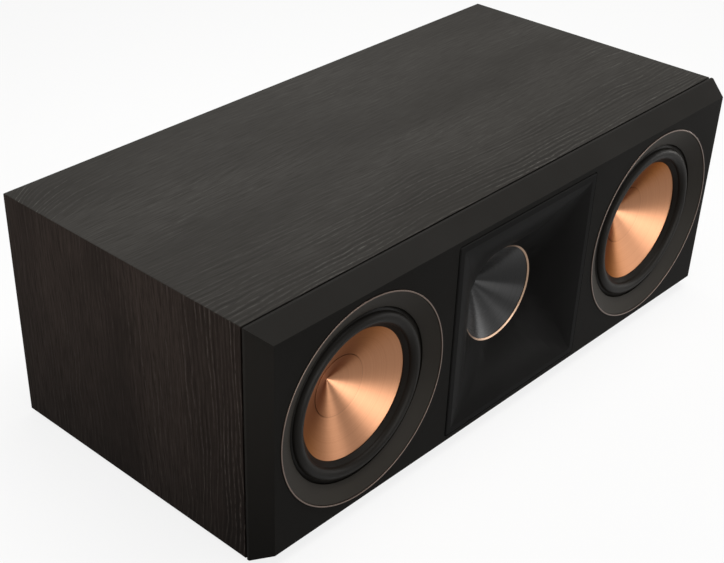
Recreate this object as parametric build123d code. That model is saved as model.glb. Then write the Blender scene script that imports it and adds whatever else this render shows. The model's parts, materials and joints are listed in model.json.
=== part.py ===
from build123d import *
import math
import os

# Center channel speaker: two woofers beside a square horn tweeter, in a mitred wooden box.
# Millimetres. X runs along the box, the front faces -Y and +Z is up.
# The origin lies under the middle of the box, on the surface that the feet stand on.
# A depth is counted from the front face of the baffle towards the back.

# Layout of the front
TRIM_DIAMETER = 149.6
HORN_SIZE = 149.2
DRIVER_GAP = 10.8
END_MARGIN = 5.2
EDGE_MARGIN = 4.4
TRIM_PROUD = 0.6

# Baffle and box
BEVEL_INSET = 8.3
BEVEL_DEPTH = 15.1
BAFFLE_LAND = 1.8
GROOVE_WIDTH = 1.5
GROOVE_DEPTH = 3.0
BOX_DEPTH = 225.7
PANEL = 15.0
CORNER_RADIUS = 0.8
BRACE_THICKNESS = 12.0
BRACE_RAIL = 32.0
WINDOW_RADIUS = 20.0
FOOT_HEIGHT = 3.0
FOOT_RADIUS = 10.0
FOOT_TAPER = 1.5
FOOT_INSET = 40.0
PAD_THICKNESS = 20.0
PAD_LENGTH = 130.0
PAD_MARGIN = 6.0

# Fits
GLUE_LINE = 0.1
RUNNING_GAP = 0.5
LIP_GAP = 0.25
SEAM = 0.3
HORN_SEAM = 0.8
HOLE_GAP = 0.5
PILOT_GAP = 0.1

# Woofer trim, from the outside in
ACCENT_WIDTH = 1.0
ACCENT_SEAT = 1.6
ACCENT_CHAMFER = 0.35
TRIM_DISH = 5.6
TRIM_EDGE = 0.8
TRIM_SKIRT = 3.6
TRIM_REVEAL = 2.5

# Woofer moving parts
CONE_RADIUS = 46.8
CONE_ANGLE = 62.6
CONE_WALL = 0.8
LIP_WIDTH = 3.2
ROLL_RADIUS = 4.5
RUBBER = 0.8
SURROUND_FLANGE = 4.4
CAP_RADIUS = 22.0
CAP_WALL = 0.5
CAP_TIP = 0.6
FORMER_RADIUS = 16.0
FORMER_WALL = 0.4
WINDING_WALL = 0.8
WINDING_HEIGHT = 12.0
SPIDER_DROP = 8.5
SPIDER_WIDTH = 24.5
SPIDER_WAVE = 1.2
SPIDER_WAVES = 3
SPIDER_LANDING = 4.0
SPIDER_WALL = 0.6

# Woofer frame and motor
FLANGE = 2.2
GASKET = 1.0
BASKET_WALL = 1.6
BASKET_COLLAR = 7.7
COLLAR_INSET = 2.0
SHELF_DROP = 6.0
BASKET_WINDOWS = 4
WINDOW_ANGLE = 58.0
WINDOW_RIM = 1.6
PLATE = 5.0
PLATE_RADIUS = 38.0
MAGNET_HEIGHT = 14.0
MAGNET_RADIUS = 45.0
MAGNET_BORE = 24.0
POLE_VENT = 5.0

# Screws
SCREW_RADIUS = 1.9
SCREW_LENGTH = 12.0
SCREW_HEAD_RADIUS = 3.4
SCREW_HEAD = 2.0
RECESS_DEPTH = 1.2
RECESS_LENGTH = 3.8
RECESS_WIDTH = 0.9
WOOFER_SCREWS = 4
WOOFER_SCREW_TURN = 45.0

# Horn
HORN_FLANGE = 4.6
HORN_CORNER = 1.6
HORN_EDGE_RADIUS = 0.9
HORN_LIP = 4.6
HORN_DEPTH = 20.4
HORN_WALL = 3.0
FLARE_STEPS = 5
FLARE_START = 12.0
FLARE_BLEND = 1.3
THROAT_RADIUS = 36.0
CORNER_START = 10.0
BELL_START = 0.33
BOSS_RADIUS = 4.2
BOSS_HEIGHT = 6.0
BOSS_SPACING = 90.0
RING_WIDTH = 1.2
RING_BEVEL = 0.7
RING_HEIGHT = 1.2

# Tweeter
INSERT_RADIUS = 50.5
INSERT_FLANGE = 4.6
INSERT_DEPTH = 22.8
INSERT_WALL = 2.0
INSERT_STEM = 33.0
INSERT_SCREW_RADIUS = 46.0
INSERT_SCREWS = 4
EXIT_RADIUS = 4.0
DOME_RADIUS = 12.5
DOME_HEIGHT = 3.6
DOME_WALL = 0.3
DOME_GAP = 0.7
DOME_RIM = 4.7
COIL_WALL = 0.7
COIL_HEIGHT = 4.6
COIL_GAP = 0.4
TWEETER_PLATE = 4.0
TWEETER_PLATE_RADIUS = 31.0
TWEETER_MAGNET = 9.0
TWEETER_MAGNET_RADIUS = 33.0
TWEETER_MAGNET_BORE = 18.0
TWEETER_VENT = 4.0
REAR_CUP_RADIUS = 26.0
REAR_CUP_DEPTH = 18.0
REAR_CUP_WALL = 2.0

# Ports
PORT_INSET = 10.2
PORT_RADIUS = 23.0
PORT_WALL = 2.5
PORT_FLARE = 14.0
PORT_FLANGE = 3.0
PORT_FLANGE_WIDTH = 6.0
PORT_LENGTH = 110.0

# Terminals
CUP_WIDTH = 108.0
CUP_HEIGHT = 74.0
CUP_CORNER = 8.0
CUP_FLANGE = 3.0
CUP_RIM = 12.0
CUP_DEPTH = 24.0
CUP_WALL = 3.0
CUP_SCREW_INSET = 6.5
POST_SPACING = 19.0
STUD_RADIUS = 3.2
STUD_COLLAR_RADIUS = 6.5
STUD_COLLAR = 2.0
STUD_TAIL = 14.0
BANANA_RADIUS = 2.05
BANANA_DEPTH = 14.0
WASHER = 1.0
CAP_OUTER_RADIUS = 7.0
CAP_LENGTH = 13.0
CAP_RECESS = 2.0
CAP_FLUTES = 12
FLUTE_RADIUS = 0.9
THREAD_GAP = 0.3
SEAT_GAP = 0.2
NUT_SIZE = 10.0
NUT_HEIGHT = 5.0

# Crossover
BOARD_WIDTH = 120.0
BOARD_LENGTH = 90.0
BOARD_THICKNESS = 1.6
BOARD_DEPTH = 100.0
STANDOFF_HEIGHT = 8.0
STANDOFF_RADIUS = 3.5
STANDOFF_INSET = 6.0
INDUCTOR_RADIUS = 20.0
INDUCTOR_BORE = 9.0
INDUCTOR_HEIGHT = 18.0
INDUCTOR_SPACING = 60.0
CAPACITOR_RADIUS = 8.0
ROW_GAP = 4.0
CAPACITOR_SPACING = 20.0
CAPACITORS = 3
RESISTOR_LENGTH = 26.0
RESISTOR_SIDE = 9.0
RESISTOR_SPACING = 90.0

# Box sizes that follow from the layout
TRIM_RADIUS = TRIM_DIAMETER / 2
WOOFER_X = HORN_SIZE / 2 + DRIVER_GAP + TRIM_RADIUS
PORT_X = WOOFER_X - PORT_INSET
FACE_WIDTH = 2 * (WOOFER_X + TRIM_RADIUS + END_MARGIN)
FACE_HEIGHT = max(TRIM_DIAMETER, HORN_SIZE) + 2 * EDGE_MARGIN
WIDTH = FACE_WIDTH + 2 * BEVEL_INSET
HEIGHT = FACE_HEIGHT + 2 * BEVEL_INSET
BAFFLE_REAR = BEVEL_DEPTH + BAFFLE_LAND + GROOVE_WIDTH
BACK = BAFFLE_REAR + BOX_DEPTH
BACK_INNER = BACK - PANEL
FRONT_Y = (TRIM_PROUD - BACK) / 2
MID_Z = FOOT_HEIGHT + HEIGHT / 2
INNER_WIDTH = WIDTH - 2 * PANEL
INNER_HEIGHT = HEIGHT - 2 * PANEL

# Woofer depths and radii that follow from the stack on the counterbore floor
ACCENT_INNER = TRIM_RADIUS - ACCENT_WIDTH
ROLL_INNER = CONE_RADIUS + LIP_WIDTH
ROLL_CENTRE = ROLL_INNER + ROLL_RADIUS
ROLL_OUTER = ROLL_CENTRE + ROLL_RADIUS
TRIM_INNER = ROLL_OUTER + TRIM_REVEAL
TRIM_UNDER = TRIM_DISH + TRIM_EDGE
FLANGE_FRONT = TRIM_UNDER + GLUE_LINE + RUBBER
FLANGE_REAR = FLANGE_FRONT + FLANGE
COUNTERBORE = FLANGE_REAR + GASKET
SKIRT_INNER = TRIM_RADIUS - TRIM_SKIRT
FLANGE_RADIUS = SKIRT_INNER - HOLE_GAP
SURROUND_RADIUS = ROLL_OUTER + SURROUND_FLANGE
COLLAR_RADIUS = ROLL_OUTER - COLLAR_INSET
BAFFLE_HOLE = COLLAR_RADIUS + HOLE_GAP
WOOFER_SCREW_RADIUS = (SURROUND_RADIUS + FLANGE_RADIUS) / 2
CONE_SLOPE = 1 / math.tan(math.radians(CONE_ANGLE))
FORMER_OUTER = FORMER_RADIUS + FORMER_WALL
WINDING_RADIUS = FORMER_OUTER + WINDING_WALL
NECK_RADIUS = FORMER_OUTER + GLUE_LINE


def cone_front(radius):
    """Depth of the cone's front surface at a radius."""
    return FLANGE_FRONT + RUBBER + LIP_GAP + (ROLL_INNER - radius) * CONE_SLOPE


SPIDER_DEPTH = cone_front(NECK_RADIUS) + SPIDER_DROP
SPIDER_RADIUS = NECK_RADIUS + SPIDER_WIDTH
SHELF_DEPTH = SPIDER_DEPTH + SPIDER_WALL + GLUE_LINE
SHELF_OUTER = SPIDER_RADIUS + HOLE_GAP
BASKET_FLOOR = SHELF_DEPTH + SHELF_DROP
PLATE_FRONT = BASKET_FLOOR + BASKET_WALL
PLATE_REAR = PLATE_FRONT + PLATE
MAGNET_REAR = PLATE_REAR + MAGNET_HEIGHT
YOKE_REAR = MAGNET_REAR + PLATE
WINDING_FRONT = PLATE_FRONT + (PLATE - WINDING_HEIGHT) / 2

# Horn flare: a circular arc from a faint crease at the rim down to the round throat
MOUTH_HALF = HORN_SIZE / 2 - HORN_LIP
FLARE_WIDTH = MOUTH_HALF - THROAT_RADIUS
FLARE_DROP = HORN_DEPTH + TRIM_PROUD
CREASE = math.radians(FLARE_START)
FLARE_TURN = 2 * (math.atan(FLARE_DROP / FLARE_WIDTH) - CREASE)
FLARE_RADIUS = math.hypot(FLARE_WIDTH, FLARE_DROP) / (2 * math.sin(FLARE_TURN / 2))


def flare_angle(step):
    """Slope of the horn's flare at a step from mouth to throat."""
    return CREASE + FLARE_TURN * step / FLARE_STEPS


def flare_half(step):
    """Half width of the horn at a step of its flare."""
    return MOUTH_HALF - FLARE_RADIUS * (math.sin(flare_angle(step)) - math.sin(CREASE))


def flare_depth(step):
    """Depth of the horn's section at a step of its flare."""
    return FLARE_RADIUS * (math.cos(CREASE) - math.cos(flare_angle(step))) - TRIM_PROUD


HORN_SEAT = HORN_FLANGE - TRIM_PROUD
BELL_SIZE = 2 * (flare_half(BELL_START * FLARE_STEPS) + HORN_WALL)
INSERT_FRONT = HORN_DEPTH + RING_HEIGHT + GLUE_LINE
INSERT_SEAT = INSERT_FRONT + INSERT_FLANGE
EXIT_DEPTH = INSERT_FRONT + INSERT_DEPTH
DOME_TOP = EXIT_DEPTH + INSERT_WALL + DOME_GAP
DOME_BASE = DOME_TOP + DOME_HEIGHT
DOME_SPHERE = (DOME_RADIUS**2 + DOME_HEIGHT**2) / (2 * DOME_HEIGHT)
DOME_CENTRE = DOME_TOP + DOME_SPHERE
TWEETER_FRONT = DOME_BASE + DOME_WALL + GLUE_LINE
DOME_RIM_RADIUS = DOME_RADIUS + DOME_RIM
TWEETER_PLATE_REAR = TWEETER_FRONT + TWEETER_PLATE
TWEETER_MAGNET_REAR = TWEETER_PLATE_REAR + TWEETER_MAGNET
TWEETER_REAR = TWEETER_MAGNET_REAR + TWEETER_PLATE

# Terminal depths, from the cup's floor outwards
CUP_FLOOR = BACK - CUP_DEPTH
COLLAR_TOP = CUP_FLOOR + STUD_COLLAR
WASHER_SEAT = COLLAR_TOP + SEAT_GAP
CAP_SEAT = WASHER_SEAT + WASHER + SEAT_GAP
STUD_END = CAP_SEAT + CAP_LENGTH - CAP_RECESS
SIDES = {"left": -1, "right": 1}
POSTS = {"red": -1, "black": 1}

# Crossover heights
BOARD_Z = FOOT_HEIGHT + PANEL + STANDOFF_HEIGHT
BOARD_TOP = BOARD_Z + BOARD_THICKNESS
BOARD_MIDDLE = BOARD_DEPTH + BOARD_LENGTH / 2
CAPACITOR_LENGTH = BOARD_LENGTH - 2 * STANDOFF_INSET - 2 * INDUCTOR_RADIUS - ROW_GAP


def place(x, depth, z):
    """Location of a point given by its depth behind the baffle face."""
    return Pos(x, FRONT_Y + depth, z)


def turned(outline, x, z=MID_Z, arc=360):
    """Solid turned about an axis along Y from an outline in radius and depth."""
    return place(x, 0, z) * revolve(make_face(outline), Axis.Y, arc)


def ring(inner, outer, front, rear, x, z=MID_Z):
    """Plain round ring between two radii and two depths."""
    return turned(Polyline((inner, front), (outer, front), (outer, rear), (inner, rear), close=True), x, z)


def rod(radius, front, rear, x, z):
    """Plain round bar along Y."""
    return place(x, (front + rear) / 2, z) * Rot(90, 0, 0) * Cylinder(radius, rear - front)


def block(width, front, rear, height, x, z):
    """Plain box between two depths."""
    return place(x, (front + rear) / 2, z) * Box(width, rear - front, height)


def rounded_block(width, height, radius, front, rear, x=0, z=MID_Z):
    """Box along Y with rounded long edges."""
    face = Plane.XZ * RectangleRounded(width, height, radius)
    return place(x, rear, z) * extrude(face, rear - front)


def around(count, radius, start=0):
    """Points evenly spaced on a circle, as x and z offsets."""
    turns = [math.radians(start + 360 * index / count) for index in range(count)]
    return [(radius * math.cos(turn), radius * math.sin(turn)) for turn in turns]


def box_panels():
    """Four mitred panels, cut from one rounded tube so that their corners line up."""
    outside = rounded_block(WIDTH, HEIGHT, CORNER_RADIUS, BAFFLE_REAR, BACK)
    tube = outside - block(INNER_WIDTH, BAFFLE_REAR, BACK, INNER_HEIGHT, 0, MID_Z)
    half_width = WIDTH / 2
    half_height = HEIGHT / 2
    reach = half_width - half_height

    def wedge(*corners):
        face = Plane.XZ * make_face(Polyline(*corners, close=True))
        return tube & (place(0, BACK, MID_Z) * extrude(face, BOX_DEPTH))

    top_left = (-half_width, half_height)
    top_right = (half_width, half_height)
    bottom_left = (-half_width, -half_height)
    bottom_right = (half_width, -half_height)
    return {
        "top_panel": wedge(top_left, (-reach, 0), (reach, 0), top_right),
        "bottom_panel": wedge(bottom_left, bottom_right, (reach, 0), (-reach, 0)),
        "left_side_panel": wedge(bottom_left, (-reach, 0), top_left),
        "right_side_panel": wedge(bottom_right, top_right, (reach, 0)),
    }


def front_baffle():
    """Bevelled board with a shadow groove behind its edge and seats for the three drivers."""
    land_front = Plane.XZ.offset(-BEVEL_DEPTH) * Rectangle(WIDTH, HEIGHT)
    face = Plane.XZ * Rectangle(FACE_WIDTH, FACE_HEIGHT)
    bevel = place(0, 0, MID_Z) * loft([land_front, face], ruled=True)
    land = block(WIDTH, BEVEL_DEPTH, BEVEL_DEPTH + BAFFLE_LAND, HEIGHT, 0, MID_Z)
    seat_width = WIDTH - 2 * GROOVE_DEPTH
    seat_height = HEIGHT - 2 * GROOVE_DEPTH
    seat = block(seat_width, BEVEL_DEPTH + BAFFLE_LAND, BAFFLE_REAR, seat_height, 0, MID_Z)
    baffle = bevel + land + seat
    for side in SIDES.values():
        baffle -= rod(TRIM_RADIUS + SEAM, 0, COUNTERBORE, side * WOOFER_X, MID_Z)
        baffle -= rod(BAFFLE_HOLE, COUNTERBORE, BAFFLE_REAR, side * WOOFER_X, MID_Z)
        for x, z in around(WOOFER_SCREWS, WOOFER_SCREW_RADIUS, WOOFER_SCREW_TURN):
            hole_rear = FLANGE_FRONT + SCREW_LENGTH + PILOT_GAP
            baffle -= rod(SCREW_RADIUS + PILOT_GAP, COUNTERBORE, hole_rear, side * WOOFER_X + x, MID_Z + z)
    pocket = HORN_SIZE + 2 * HORN_SEAM
    baffle -= rounded_block(pocket, pocket, HORN_CORNER + HORN_SEAM, 0, HORN_SEAT)
    cutout = BELL_SIZE + 2 * HOLE_GAP
    baffle -= block(cutout, HORN_SEAT, BAFFLE_REAR, cutout, 0, MID_Z)
    for x, z in boss_points():
        baffle -= rod(BOSS_RADIUS + SEAM, HORN_SEAT, HORN_SEAT + BOSS_HEIGHT + SEAM, x, MID_Z + z)
        baffle -= rod(SCREW_RADIUS + PILOT_GAP, HORN_SEAT, BAFFLE_REAR, x, MID_Z + z)
    return baffle


def back_panel():
    """Board let in between the four panels, with seats for the ports and the terminal cup."""
    panel = block(INNER_WIDTH, BACK_INNER, BACK, INNER_HEIGHT, 0, MID_Z)
    flange = PORT_RADIUS + PORT_FLARE + PORT_FLANGE_WIDTH
    throat = PORT_RADIUS + PORT_FLARE + PORT_WALL
    for side in SIDES.values():
        panel -= rod(flange + SEAM, BACK - PORT_FLANGE, BACK, side * PORT_X, MID_Z)
        panel -= rod(throat + SEAM, BACK_INNER, BACK, side * PORT_X, MID_Z)
    gap = 2 * SEAM
    panel -= rounded_block(CUP_WIDTH + gap, CUP_HEIGHT + gap, CUP_CORNER + SEAM, BACK - CUP_FLANGE, BACK)
    panel -= cup_body(SEAM, BACK_INNER)
    for x, z in cup_screw_points():
        panel -= rod(SCREW_RADIUS + PILOT_GAP, BACK - SCREW_LENGTH - PILOT_GAP, BACK, x, MID_Z + z)
    return panel


def brace(side):
    """Upright board between horn and woofer, with a rounded window."""
    x = side * (HORN_SIZE / 2 + WOOFER_X - BAFFLE_HOLE) / 2
    board = block(BRACE_THICKNESS, BAFFLE_REAR, BACK_INNER, INNER_HEIGHT, x, MID_Z)
    length = BACK_INNER - BAFFLE_REAR - 2 * BRACE_RAIL
    window = RectangleRounded(length, INNER_HEIGHT - 2 * BRACE_RAIL, WINDOW_RADIUS)
    opening = extrude(Plane.YZ * window, BRACE_THICKNESS, both=True)
    return board - place(x, (BAFFLE_REAR + BACK_INNER) / 2, MID_Z) * opening


def rubber_feet():
    """Four stick-on feet under the bottom panel."""
    foot = Pos(0, 0, FOOT_HEIGHT / 2) * Cone(FOOT_RADIUS - FOOT_TAPER, FOOT_RADIUS, FOOT_HEIGHT)
    middle = (BAFFLE_REAR + BACK) / 2
    reach_x = WIDTH / 2 - FOOT_INSET
    reach_y = BOX_DEPTH / 2 - FOOT_INSET
    corners = [(x, y) for x in (-reach_x, reach_x) for y in (-reach_y, reach_y)]
    return Compound([place(x, middle + y, 0) * foot for x, y in corners])


def damping_pads():
    """Fibre pads on the underside of the top panel, behind each woofer."""
    brace_face = (HORN_SIZE / 2 + WOOFER_X - BAFFLE_HOLE + BRACE_THICKNESS) / 2
    width = INNER_WIDTH / 2 - brace_face - 2 * PAD_MARGIN
    x = brace_face + PAD_MARGIN + width / 2
    z = FOOT_HEIGHT + HEIGHT - PANEL - PAD_THICKNESS / 2
    rear = BACK_INNER - PAD_MARGIN
    front = rear - PAD_LENGTH
    return Compound([block(width, front, rear, PAD_THICKNESS, side * x, z) for side in SIDES.values()])


def trim_ring(x):
    """Dished ring that covers the woofer's flange and screws."""
    shoulder = ACCENT_INNER - GLUE_LINE
    seat = ACCENT_SEAT + GLUE_LINE
    return turned(
        Polyline(
            (TRIM_INNER, TRIM_DISH),
            (shoulder, 0),
            (shoulder, seat),
            (TRIM_RADIUS, seat),
            (TRIM_RADIUS, COUNTERBORE),
            (SKIRT_INNER, COUNTERBORE),
            (SKIRT_INNER, TRIM_UNDER),
            (TRIM_INNER, TRIM_UNDER),
            close=True,
        ),
        x,
    )


def accent_ring(x):
    """Thin ring around the trim, with both its front edges chamfered."""
    spring = ACCENT_CHAMFER - TRIM_PROUD
    return turned(
        Polyline(
            (ACCENT_INNER, spring),
            (ACCENT_INNER + ACCENT_CHAMFER, -TRIM_PROUD),
            (TRIM_RADIUS - ACCENT_CHAMFER, -TRIM_PROUD),
            (TRIM_RADIUS, spring),
            (TRIM_RADIUS, ACCENT_SEAT),
            (ACCENT_INNER, ACCENT_SEAT),
            close=True,
        ),
        x,
    )


def surround(x):
    """Rubber half roll with an outer flange on the basket and a lip along the cone."""
    front = FLANGE_FRONT - RUBBER
    inner_roll = ROLL_RADIUS - RUBBER
    outer_foot = ROLL_CENTRE + math.sqrt(ROLL_RADIUS**2 - RUBBER**2)
    lip_rear = cone_front(CONE_RADIUS) - LIP_GAP
    fold = ROLL_INNER + RUBBER
    fold_rear = cone_front(fold) - LIP_GAP
    outline = Polyline((SURROUND_RADIUS, front), (outer_foot, front))
    outline += ThreePointArc(
        (outer_foot, front), (ROLL_CENTRE, FLANGE_FRONT - ROLL_RADIUS), (ROLL_INNER, FLANGE_FRONT)
    )
    outline += Polyline(
        (ROLL_INNER, FLANGE_FRONT),
        (CONE_RADIUS, lip_rear - RUBBER),
        (CONE_RADIUS, lip_rear),
        (fold, fold_rear),
        (fold, FLANGE_FRONT),
    )
    outline += ThreePointArc(
        (fold, FLANGE_FRONT), (ROLL_CENTRE, FLANGE_FRONT - inner_roll), (ROLL_OUTER - RUBBER, FLANGE_FRONT)
    )
    outline += Polyline(
        (ROLL_OUTER - RUBBER, FLANGE_FRONT), (SURROUND_RADIUS, FLANGE_FRONT), (SURROUND_RADIUS, front)
    )
    return turned(outline, x)


def cone(x):
    """Straight shallow cone from the neck at the coil to under the surround's lip."""
    edge = ROLL_INNER - LIP_GAP
    return turned(
        Polyline(
            (edge, cone_front(edge)),
            (NECK_RADIUS, cone_front(NECK_RADIUS)),
            (NECK_RADIUS, cone_front(NECK_RADIUS) + CONE_WALL),
            (edge, cone_front(edge) + CONE_WALL),
            close=True,
        ),
        x,
    )


def dust_cap(x):
    """Inverted cap that carries the cone's slope on to the middle."""
    rim = cone_front(CAP_RADIUS) - GLUE_LINE
    tip = cone_front(CAP_TIP) - GLUE_LINE
    return turned(
        Polyline(
            (CAP_RADIUS, rim - CAP_WALL),
            (CAP_TIP, tip - CAP_WALL),
            (0, tip - CAP_WALL),
            (0, tip),
            (CAP_TIP, tip),
            (CAP_RADIUS, rim),
            close=True,
        ),
        x,
    )


def voice_coil(x):
    """Former tube with the winding round its rear end."""
    top = cone_front(FORMER_RADIUS)
    bottom = WINDING_FRONT + WINDING_HEIGHT
    return turned(
        Polyline(
            (FORMER_RADIUS, top),
            (FORMER_OUTER, top),
            (FORMER_OUTER, WINDING_FRONT),
            (WINDING_RADIUS, WINDING_FRONT),
            (WINDING_RADIUS, bottom),
            (FORMER_RADIUS, bottom),
            close=True,
        ),
        x,
    )


def spider(x):
    """Corrugated disc that centres the coil, glued to the basket's shelf."""
    inner = NECK_RADIUS + SPIDER_WALL
    outer = SPIDER_RADIUS - SPIDER_LANDING
    folds = 2 * SPIDER_WAVES
    pitch = (outer - inner) / folds
    front = [(NECK_RADIUS, SPIDER_DEPTH), (inner, SPIDER_DEPTH)]
    for index in range(folds):
        lift = -SPIDER_WAVE if index % 2 == 0 else SPIDER_WAVE
        front.append((inner + (index + 0.5) * pitch, SPIDER_DEPTH + lift))
    front += [(outer, SPIDER_DEPTH), (SPIDER_RADIUS, SPIDER_DEPTH)]
    rear = [(radius, depth + SPIDER_WALL) for radius, depth in reversed(front)]
    return turned(Polyline(*front, *rear, close=True), x)


def basket(x):
    """Pressed frame: flange, collar, windowed wall, spider shelf and motor floor."""
    collar_inner = COLLAR_RADIUS - BASKET_WALL
    collar_rear = FLANGE_FRONT + BASKET_COLLAR
    shelf_inner = SPIDER_RADIUS - SPIDER_LANDING + HOLE_GAP
    hole = WINDING_RADIUS + 2 * RUNNING_GAP
    frame = turned(
        Polyline(
            (FLANGE_RADIUS, FLANGE_FRONT),
            (collar_inner, FLANGE_FRONT),
            (collar_inner, collar_rear),
            (SHELF_OUTER, SHELF_DEPTH),
            (shelf_inner, SHELF_DEPTH),
            (shelf_inner, BASKET_FLOOR),
            (hole, BASKET_FLOOR),
            (hole, PLATE_FRONT),
            (shelf_inner + BASKET_WALL, PLATE_FRONT),
            (shelf_inner + BASKET_WALL, SHELF_DEPTH + BASKET_WALL),
            (SHELF_OUTER + BASKET_WALL, SHELF_DEPTH + BASKET_WALL),
            (COLLAR_RADIUS, collar_rear),
            (COLLAR_RADIUS, FLANGE_REAR),
            (FLANGE_RADIUS, FLANGE_REAR),
            close=True,
        ),
        x,
    )
    front = collar_rear + WINDOW_RIM
    rear = SHELF_DEPTH - WINDOW_RIM
    outline = Polyline(
        (SHELF_OUTER, front), (FLANGE_RADIUS, front), (FLANGE_RADIUS, rear), (shelf_inner, rear), close=True
    )
    window = revolve(make_face(outline), Axis.Y, WINDOW_ANGLE)
    for index in range(BASKET_WINDOWS):
        frame -= place(x, 0, MID_Z) * Rot(0, 360 * index / BASKET_WINDOWS, 0) * window
    for dx, dz in around(WOOFER_SCREWS, WOOFER_SCREW_RADIUS, WOOFER_SCREW_TURN):
        frame -= countersunk_hole(FLANGE_FRONT, FLANGE_REAR, x + dx, MID_Z + dz)
    return frame


def gasket(x):
    """Foam ring between the basket's flange and the counterbore floor."""
    seal = ring(BAFFLE_HOLE, FLANGE_RADIUS, FLANGE_REAR, COUNTERBORE, x)
    for dx, dz in around(WOOFER_SCREWS, WOOFER_SCREW_RADIUS, WOOFER_SCREW_TURN):
        seal -= rod(SCREW_RADIUS + PILOT_GAP, FLANGE_REAR, COUNTERBORE, x + dx, MID_Z + dz)
    return seal


def yoke(x):
    """Back plate and pole in one, with a vent through the pole."""
    pole = FORMER_RADIUS - RUNNING_GAP
    return turned(
        Polyline(
            (POLE_VENT, PLATE_FRONT),
            (pole, PLATE_FRONT),
            (pole, MAGNET_REAR),
            (PLATE_RADIUS, MAGNET_REAR),
            (PLATE_RADIUS, YOKE_REAR),
            (POLE_VENT, YOKE_REAR),
            close=True,
        ),
        x,
    )


def woofer(name, x):
    """All the pieces of one woofer but its gasket and screws."""
    plate_bore = WINDING_RADIUS + RUNNING_GAP
    return {
        f"{name}_trim_ring": trim_ring(x),
        f"{name}_accent_ring": accent_ring(x),
        f"{name}_surround": surround(x),
        f"{name}_cone": cone(x),
        f"{name}_dust_cap": dust_cap(x),
        f"{name}_voice_coil": voice_coil(x),
        f"{name}_spider": spider(x),
        f"{name}_basket": basket(x),
        f"{name}_front_plate": ring(plate_bore, PLATE_RADIUS, PLATE_FRONT, PLATE_REAR, x),
        f"{name}_magnet": ring(MAGNET_BORE, MAGNET_RADIUS, PLATE_REAR, MAGNET_REAR, x),
        f"{name}_yoke": yoke(x),
    }


def flare_corner(step):
    """Corner radius of a section, growing from the square mouth to the round throat."""
    share = (MOUTH_HALF - flare_half(step)) / FLARE_WIDTH
    return HORN_CORNER + (THROAT_RADIUS - HORN_CORNER) * share**FLARE_BLEND


def flare_section(step):
    """Square of slightly bowed sides and round corners, which at the throat is a circle."""
    half = flare_half(step)
    corner = flare_corner(step)
    centre = half - corner
    start = math.radians(CORNER_START)
    near = centre + corner * math.sin(start)
    far = centre + corner * math.cos(start)
    bulge = centre + corner * math.sqrt(0.5)
    outline = Curve()
    for quarter in range(4):
        side = ThreePointArc((far, -near), (half, 0), (far, near))
        bend = ThreePointArc((far, near), (bulge, bulge), (near, far))
        outline += Rot(0, 0, 90 * quarter) * (side + bend)
    return Plane.XZ.offset(-flare_depth(step)) * make_face(outline)


def bell():
    """Square taper behind the flange that leaves a wall round the flare."""
    throat = 2 * (THROAT_RADIUS + HORN_WALL)
    front = Plane.XZ.offset(-HORN_SEAT) * Rectangle(BELL_SIZE, BELL_SIZE)
    rear = Plane.XZ.offset(-INSERT_FRONT) * Rectangle(throat, throat)
    return place(0, 0, MID_Z) * loft([front, rear], ruled=True)


def boss_points():
    """Screw bosses behind the left and right edges of the horn's flange."""
    x = (BELL_SIZE / 2 + HOLE_GAP + HORN_SIZE / 2) / 2
    return [(side * x, end * BOSS_SPACING / 2) for side in SIDES.values() for end in (-1, 1)]


def horn():
    """Square flange and flared bell in one moulding, with screw bosses behind."""
    flange = rounded_block(HORN_SIZE, HORN_SIZE, HORN_CORNER, -TRIM_PROUD, HORN_SEAT)
    rim = flange.faces().sort_by(Axis.Y)[0].edges()
    body = fillet(rim, HORN_EDGE_RADIUS) + bell()
    for x, z in around(INSERT_SCREWS, INSERT_SCREW_RADIUS):
        body += rod(BOSS_RADIUS, INSERT_SEAT - SCREW_LENGTH - HORN_WALL, INSERT_FRONT, x, MID_Z + z)
    for x, z in boss_points():
        body += rod(BOSS_RADIUS, HORN_SEAT, HORN_SEAT + BOSS_HEIGHT, x, MID_Z + z)
        pilot_front = BAFFLE_REAR - SCREW_LENGTH - PILOT_GAP
        body -= rod(SCREW_RADIUS + PILOT_GAP, pilot_front, BAFFLE_REAR, x, MID_Z + z)
    sections = [flare_section(step) for step in range(FLARE_STEPS + 1)]
    body -= place(0, 0, MID_Z) * loft(sections)
    body -= rod(THROAT_RADIUS + GLUE_LINE, HORN_DEPTH, INSERT_FRONT, 0, MID_Z)
    for x, z in around(INSERT_SCREWS, INSERT_SCREW_RADIUS):
        pilot_front = INSERT_SEAT - SCREW_LENGTH - PILOT_GAP
        body -= rod(SCREW_RADIUS + PILOT_GAP, pilot_front, INSERT_FRONT, x, MID_Z + z)
    return body


def horn_accent_ring():
    """Ring in the horn's throat with a bevel that faces the mouth."""
    inner = THROAT_RADIUS - RING_WIDTH
    return turned(
        Polyline(
            (THROAT_RADIUS, HORN_DEPTH),
            (THROAT_RADIUS, HORN_DEPTH + RING_HEIGHT),
            (inner, HORN_DEPTH + RING_HEIGHT),
            (inner, HORN_DEPTH + RING_BEVEL),
            close=True,
        ),
        0,
    )


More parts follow.
